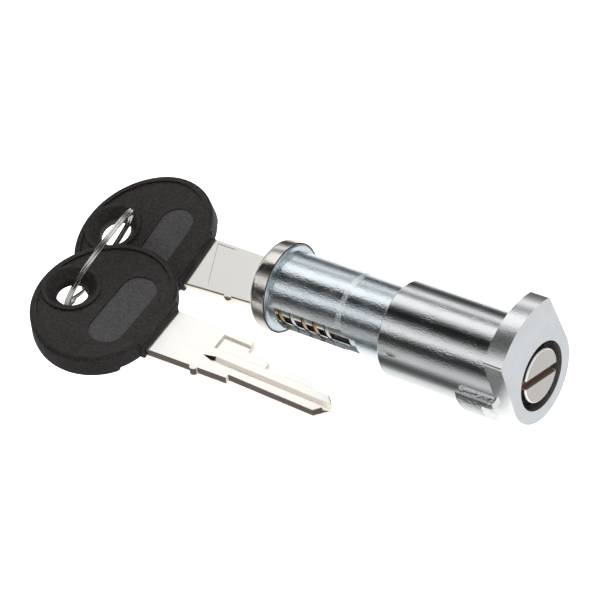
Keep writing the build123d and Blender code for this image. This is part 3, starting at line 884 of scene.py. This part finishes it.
# The painted shade on the near edge starts at another height on each key, in millimetres above its middle
for number, axes, shaded_above in ((1, standing_key, 0.35), (2, loose_key, -0.65)):
    dress_blade(number, axes, shaded_above)
    dress_bow(number, axes)

# %% [markdown]
# ## Wafers and springs
# The five wafers and their springs keep their CAD shape and only get their finish. From the head they are
# brass, steel, brass, brass and steel, as makers mix them.

# %% Finish of the wafers and springs
for number in range(1, 6):
    wafer = nodes[f"wafer_{number}"]
    wafer.data.materials.clear()
    wafer.data.materials.append(wafer_steel if number in (2, 5) else wafer_brass)
    spring = nodes[f"wafer_spring_{number}"]
    spring.data.materials.clear()
    spring.data.materials.append(spring_wire)

# %% [markdown]
# ## Pieces that follow a rule
# Three pieces are made by Geometry Nodes, because a rule says all of their shape: the cap is one section
# turned round an axis, the washer is one tooth repeated round a ring, and the key ring is one section led
# along a path. The first two functions begin and end such a tree. The third runs it on a start mesh, keeps the
# result as a plain mesh, places it in the lock's axes, and takes the modifier away.


# %% Run a node tree once
weld_within = 0.0005 * MM


def new_tree(name, inputs):
    """A geometry tree with a mesh input, named size inputs and a material; returns the tree and its input end.
    """
    tree = bpy.data.node_groups.new(name, "GeometryNodeTree")
    tree.interface.new_socket("Geometry", in_out="OUTPUT", socket_type="NodeSocketGeometry")
    tree.interface.new_socket("Geometry", in_out="INPUT", socket_type="NodeSocketGeometry")
    for label, kind in inputs.items():
        tree.interface.new_socket(label, in_out="INPUT", socket_type="NodeSocket" + kind)
    tree.interface.new_socket("Finish", in_out="INPUT", socket_type="NodeSocketMaterial")
    return tree, add_node(tree, "NodeGroupInput")


def close_tree(tree, source, made):
    """End a tree: real geometry in place of instances, then its finish."""
    real = add_node(tree, "GeometryNodeRealizeInstances", {"Geometry": made})
    dressed = add_node(
        tree, "GeometryNodeSetMaterial", {"Geometry": real, "Material": (source, "Finish")}
    )
    add_node(tree, "NodeGroupOutput", {"Geometry": dressed})


def grow(piece, start, tree, sizes, place, smooth_to):
    """Run the tree on a start mesh with its sizes and keep a plain mesh in the lock's axes."""
    seed = bpy.data.objects.new(piece, start)
    bpy.context.scene.collection.objects.link(seed)
    modifier = seed.modifiers.new("shape", "NODES")
    modifier.node_group = tree
    for socket in tree.interface.items_tree:
        if socket.in_out == "INPUT" and socket.name in sizes:
            modifier[socket.identifier] = sizes[socket.name]
    ready = seed.evaluated_get(bpy.context.evaluated_depsgraph_get())
    mesh = bpy.data.meshes.new_from_object(ready)
    seed.modifiers.remove(modifier)
    form = bmesh.new()
    form.from_mesh(mesh)
    bmesh.ops.remove_doubles(form, verts=form.verts, dist=weld_within)
    bmesh.ops.recalc_face_normals(form, faces=form.faces)
    form.to_mesh(mesh)
    form.free()
    mesh.transform(place)
    mesh.shade_smooth()
    mesh.set_sharp_from_angle(angle=radians(smooth_to))
    seed.data = mesh
    for end, pick in (("from", min), ("to", max)):
        corner = [round(pick(v.co[i] for v in mesh.vertices) / MM, 2) for i in range(3)]
        print(piece, "has", len(mesh.polygons), "faces and reaches", end, corner)
    return seed


# The cap's and the washer's rules go round Z, and the lock's axis is X
axis_along_x = Matrix(((0, 0, 1, 0), (1, 0, 0, 0), (0, 1, 0, 0), (0, 0, 0, 1)))
print("Z of a start mesh turns to", list(axis_along_x.to_3x3() @ Vector((0, 0, 1))))

# %% [markdown]
# ## Pressed cap: a section turned round an axis
# The cap is drawn from thin stainless sheet over the head, so its front edge has a large outer round. Its skirt
# reaches over the head's flange, where the flange leaves less room and the wall is thinner, and its lip is
# rolled in. A lathe or the Screw modifier could turn it. Here the start mesh is the section's corners, and each
# corner carries the radius of its own round as an attribute. The tree rounds the corners and leads the section
# round a circle.

# %% Cap: the section's corners
cap_wall = 0.50
cap_front_x, cap_inner_x, cap_step_x, cap_back_x = -30.10, -29.60, -27.95, -26.50
cap_radius, cap_skirt_radius, cap_hole_radius = 9.05, 8.77, 6.30
path_radius = 8.0
# Place along the lock, radius and own round of each corner, in millimetres
cap_section = [
    (cap_front_x, cap_hole_radius, 0.15),
    (cap_front_x, cap_radius, 1.10),
    (cap_back_x, cap_radius, 0.26),
    (cap_back_x, cap_skirt_radius, 0.01),
    (cap_step_x, cap_skirt_radius, 0.02),
    (cap_step_x, cap_radius - cap_wall, 0.02),
    (cap_inner_x, cap_radius - cap_wall, 0.02),
    (cap_inner_x, cap_hole_radius, 0.10),
]
section = bpy.data.meshes.new("cap_section")
section.from_pydata(
    [((radius - path_radius) * MM, -x * MM, 0) for x, radius, corner in cap_section],
    [(i, (i + 1) % len(cap_section)) for i in range(len(cap_section))],
    [],
)
rounds = section.attributes.new("corner_round", "FLOAT", "POINT")
rounds.data.foreach_set("value", [corner * MM for x, radius, corner in cap_section])
print("the cap's section has", len(section.vertices), "corners")

# %% Cap: the turned section and its lip
tree, source = new_tree("turned_section", {"Steps round": "Int", "Path radius": "Float"})
outline = add_node(tree, "GeometryNodeMeshToCurve", {"Mesh": (source, "Geometry")})
own_round = add_node(tree, "GeometryNodeInputNamedAttribute", {"Name": "corner_round"})
rounded = add_node(
    tree,
    "GeometryNodeFilletCurve",
    {"Curve": outline, "Radius": own_round, "Count": 8},
    mode="POLY",
)
circle = add_node(
    tree,
    "GeometryNodeCurvePrimitiveCircle",
    {"Resolution": (source, "Steps round"), "Radius": (source, "Path radius")},
)
turned = add_node(tree, "GeometryNodeCurveToMesh", {"Curve": circle, "Profile Curve": rounded})
close_tree(tree, source, turned)
cap_sizes = {"Steps round": 160, "Path radius": path_radius * MM, "Finish": stainless}
cap = grow("cap_pressed", section, tree, cap_sizes, axis_along_x, smooth_to=35)
# The cut lip is painted dark as shadow; it looks more toward the cam than outward and is the last bit of the
# skirt
lip_depth, lip_share = 0.15, 0.5
cap.data.materials.append(cap_lip)
for face in cap.data.polygons:
    if face.normal.x > lip_share and face.center.x > (cap_back_x - lip_depth) * MM:
        face.material_index = 1
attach(cap, "shell")
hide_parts("head_cap")

# %% [markdown]
# ## Lock washer: one tooth repeated
# An external-tooth washer is stamped from spring steel, and its teeth are twisted so that each one bites with
# an edge. The tree makes one tooth as a small block, twists it about the spoke that it stands on, and puts a
# copy at every step round the ring.

# %% Washer: its flat ring
washer_inputs = {
    "Teeth": "Int",
    "Inner radius": "Float",
    "Ring radius": "Float",
    "Tooth radius": "Float",
    "Tooth width": "Float",
    "Thickness": "Float",
    "Twist": "Float",
}
tree, source = new_tree("toothed_washer", washer_inputs)
inner, outer = (source, "Inner radius"), (source, "Ring radius")
tip, thickness = (source, "Tooth radius"), (source, "Thickness")
ring_width = add_node(tree, "ShaderNodeMath", {0: outer, 1: inner}, operation="SUBTRACT")
ring_sum = add_node(tree, "ShaderNodeMath", {0: outer, 1: inner}, operation="ADD")
ring_middle = add_node(tree, "ShaderNodeMath", {0: ring_sum, 1: 0.5}, operation="MULTIPLY")
band = add_node(
    tree, "GeometryNodeCurvePrimitiveQuadrilateral", {"Width": ring_width, "Height": thickness}
)
steps_round = 112
band_path = add_node(
    tree, "GeometryNodeCurvePrimitiveCircle", {"Resolution": steps_round, "Radius": ring_middle}
)
flat_ring = add_node(tree, "GeometryNodeCurveToMesh", {"Curve": band_path, "Profile Curve": band})
print("the washer's tree takes", list(washer_inputs))

# %% Washer: one twisted tooth, repeated
tooth_length = add_node(tree, "ShaderNodeMath", {0: tip, 1: ring_middle}, operation="SUBTRACT")
tooth_size = add_node(
    tree,
    "ShaderNodeCombineXYZ",
    {"X": tooth_length, "Y": (source, "Tooth width"), "Z": thickness},
)
block = add_node(tree, "GeometryNodeMeshCube", {"Size": tooth_size, "Vertices X": 4})
tooth_sum = add_node(tree, "ShaderNodeMath", {0: tip, 1: ring_middle}, operation="ADD")
tooth_middle = add_node(tree, "ShaderNodeMath", {0: tooth_sum, 1: 0.5}, operation="MULTIPLY")
spoke = add_node(tree, "ShaderNodeCombineXYZ", {"X": tooth_middle})
twist = add_node(tree, "ShaderNodeCombineXYZ", {"X": (source, "Twist")})
tooth = add_node(
    tree, "GeometryNodeTransform", {"Geometry": block, "Translation": spoke, "Rotation": twist}
)
seats = add_node(tree, "GeometryNodePoints", {"Count": (source, "Teeth")})
order = add_node(tree, "GeometryNodeInputIndex")
part_turn = add_node(tree, "ShaderNodeMath", {0: order, 1: (source, "Teeth")}, operation="DIVIDE")
full_turn = add_node(tree, "ShaderNodeMath", {0: part_turn, 1: 2 * pi}, operation="MULTIPLY")
facing = add_node(tree, "ShaderNodeCombineXYZ", {"Z": full_turn})
teeth = add_node(
    tree, "GeometryNodeInstanceOnPoints", {"Points": seats, "Instance": tooth, "Rotation": facing}
)
both = add_node(tree, "GeometryNodeJoinGeometry", {"Geometry": flat_ring})
tree.links.new(teeth.outputs[0], both.inputs[0])
close_tree(tree, source, both)
print("the washer's tree has", len(tree.nodes), "nodes")

# %% Washer: its sizes and its place
washer_x = 27.6
washer_sizes = {
    "Teeth": 14,
    "Inner radius": 2.05 * MM,
    "Ring radius": 4.70 * MM,
    "Tooth radius": 6.35 * MM,
    "Tooth width": 0.85 * MM,
    "Thickness": 0.30 * MM,
    "Twist": radians(20),
    "Finish": washer_steel,
}
washer_place = Matrix.Translation((washer_x * MM, 0, 0)) @ axis_along_x
start = bpy.data.meshes.new("washer_start")
washer = grow("washer_toothed", start, tree, washer_sizes, washer_place, smooth_to=25)
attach(washer, "plug")
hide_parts("lock_washer")

# %% [markdown]
# ## Split ring: a section led along a path
# A split ring is one flat wire wound twice. It lies below itself for the first turn, crosses over, and lies
# above itself for the second. Both ends stop at the crossing, one on each side. The tree takes a straight line
# of points, bends it twice round a circle, lifts it smoothly at the crossing, and leads a rounded flat section
# along it. The crossing is turned to the underside, where such a ring settles when it hangs from a key.

# %% Ring: the wire's path
ring_inputs = {
    "Mean radius": "Float",
    "Wire width": "Float",
    "Wire thickness": "Float",
    "Corner": "Float",
    "Crossing": "Float",
    "Steps": "Int",
}
tree, source = new_tree("split_ring", ring_inputs)
radius, crossing = (source, "Mean radius"), (source, "Crossing")
line = add_node(tree, "GeometryNodeCurvePrimitiveLine", {"End": (0, 0, 1)})
dotted = add_node(tree, "GeometryNodeResampleCurve", {"Curve": line, "Count": (source, "Steps")})
along = add_node(tree, "GeometryNodeSplineParameter")
last_angle = add_node(tree, "ShaderNodeMath", {0: 4 * pi, 1: crossing}, operation="SUBTRACT")
turn = add_node(
    tree,
    "ShaderNodeMapRange",
    {"Value": (along, "Factor"), "To Min": crossing, "To Max": last_angle},
)
across = add_node(tree, "ShaderNodeMath", {0: turn}, operation="COSINE")
upward = add_node(tree, "ShaderNodeMath", {0: turn}, operation="SINE")
x = add_node(tree, "ShaderNodeMath", {0: across, 1: radius}, operation="MULTIPLY")
y = add_node(tree, "ShaderNodeMath", {0: upward, 1: radius}, operation="MULTIPLY")
print("the ring's tree takes", list(ring_inputs))

# %% Ring: the crossing
cross_start = add_node(tree, "ShaderNodeMath", {0: 2 * pi, 1: crossing}, operation="SUBTRACT")
cross_end = add_node(tree, "ShaderNodeMath", {0: 2 * pi, 1: crossing}, operation="ADD")
# Each turn stands off the middle by a little less than half the wire, so the two press together
stand_off = 0.49
layer = add_node(
    tree, "ShaderNodeMath", {0: (source, "Wire thickness"), 1: stand_off}, operation="MULTIPLY"
)
below = add_node(tree, "ShaderNodeMath", {0: layer, 1: -1.0}, operation="MULTIPLY")
lift = add_node(
    tree,
    "ShaderNodeMapRange",
    {
        "Value": turn,
        "From Min": cross_start,
        "From Max": cross_end,
        "To Min": below,
        "To Max": layer,
    },
    interpolation_type="SMOOTHSTEP",
)
wound = add_node(tree, "ShaderNodeCombineXYZ", {"X": x, "Y": y, "Z": lift})
path = add_node(tree, "GeometryNodeSetPosition", {"Geometry": dotted, "Position": wound})
upright = add_node(tree, "GeometryNodeSetCurveNormal", {"Curve": path}, mode="Z_UP")
print("the ring's tree has", len(tree.nodes), "nodes so far")

# %% Ring: the wire's section along the path
flat = add_node(
    tree,
    "GeometryNodeCurvePrimitiveQuadrilateral",
    {"Width": (source, "Wire width"), "Height": (source, "Wire thickness")},
)
flat_rounded = add_node(
    tree,
    "GeometryNodeFilletCurve",
    {"Curve": flat, "Radius": (source, "Corner"), "Count": 3},
    mode="POLY",
)
wire = add_node(
    tree,
    "GeometryNodeCurveToMesh",
    {"Curve": upright, "Profile Curve": flat_rounded, "Fill Caps": True},
)
close_tree(tree, source, wire)
ring_sizes = {
    "Mean radius": 10.9 * MM,
    "Wire width": 1.10 * MM,
    "Wire thickness": 0.51 * MM,
    "Corner": 0.14 * MM,
    "Crossing": radians(13),
    "Steps": 400,
    "Finish": ring_wire,
}
ring_centre = Vector((-63.992, -11.440, 0.719)) * MM
ring_axis = Vector((0.855505, 0.175103, -0.487288))
ring_down = Vector((-0.4653, -0.1529, -0.8718))
ring_across = ring_axis.cross(ring_down).normalized()
ring_turn = Matrix((ring_down.normalized(), ring_across, ring_axis)).transposed().to_4x4()
ring_place = Matrix.Translation(ring_centre) @ ring_turn
start = bpy.data.meshes.new("ring_start")
ring = grow("ring_split", start, tree, ring_sizes, ring_place, smooth_to=35)
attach(ring, "key_ring")
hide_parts("key_ring")

# %% [markdown]
# ## Check of the size
# Dressing the pieces must not change the object's size, so both boxes are kept and compared.

# %% Keep both boxes and finish
low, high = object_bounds()
print("grown by", [round((h - c) / MM, 3) for h, c in zip(high - low, cad_high - cad_low)], "mm")
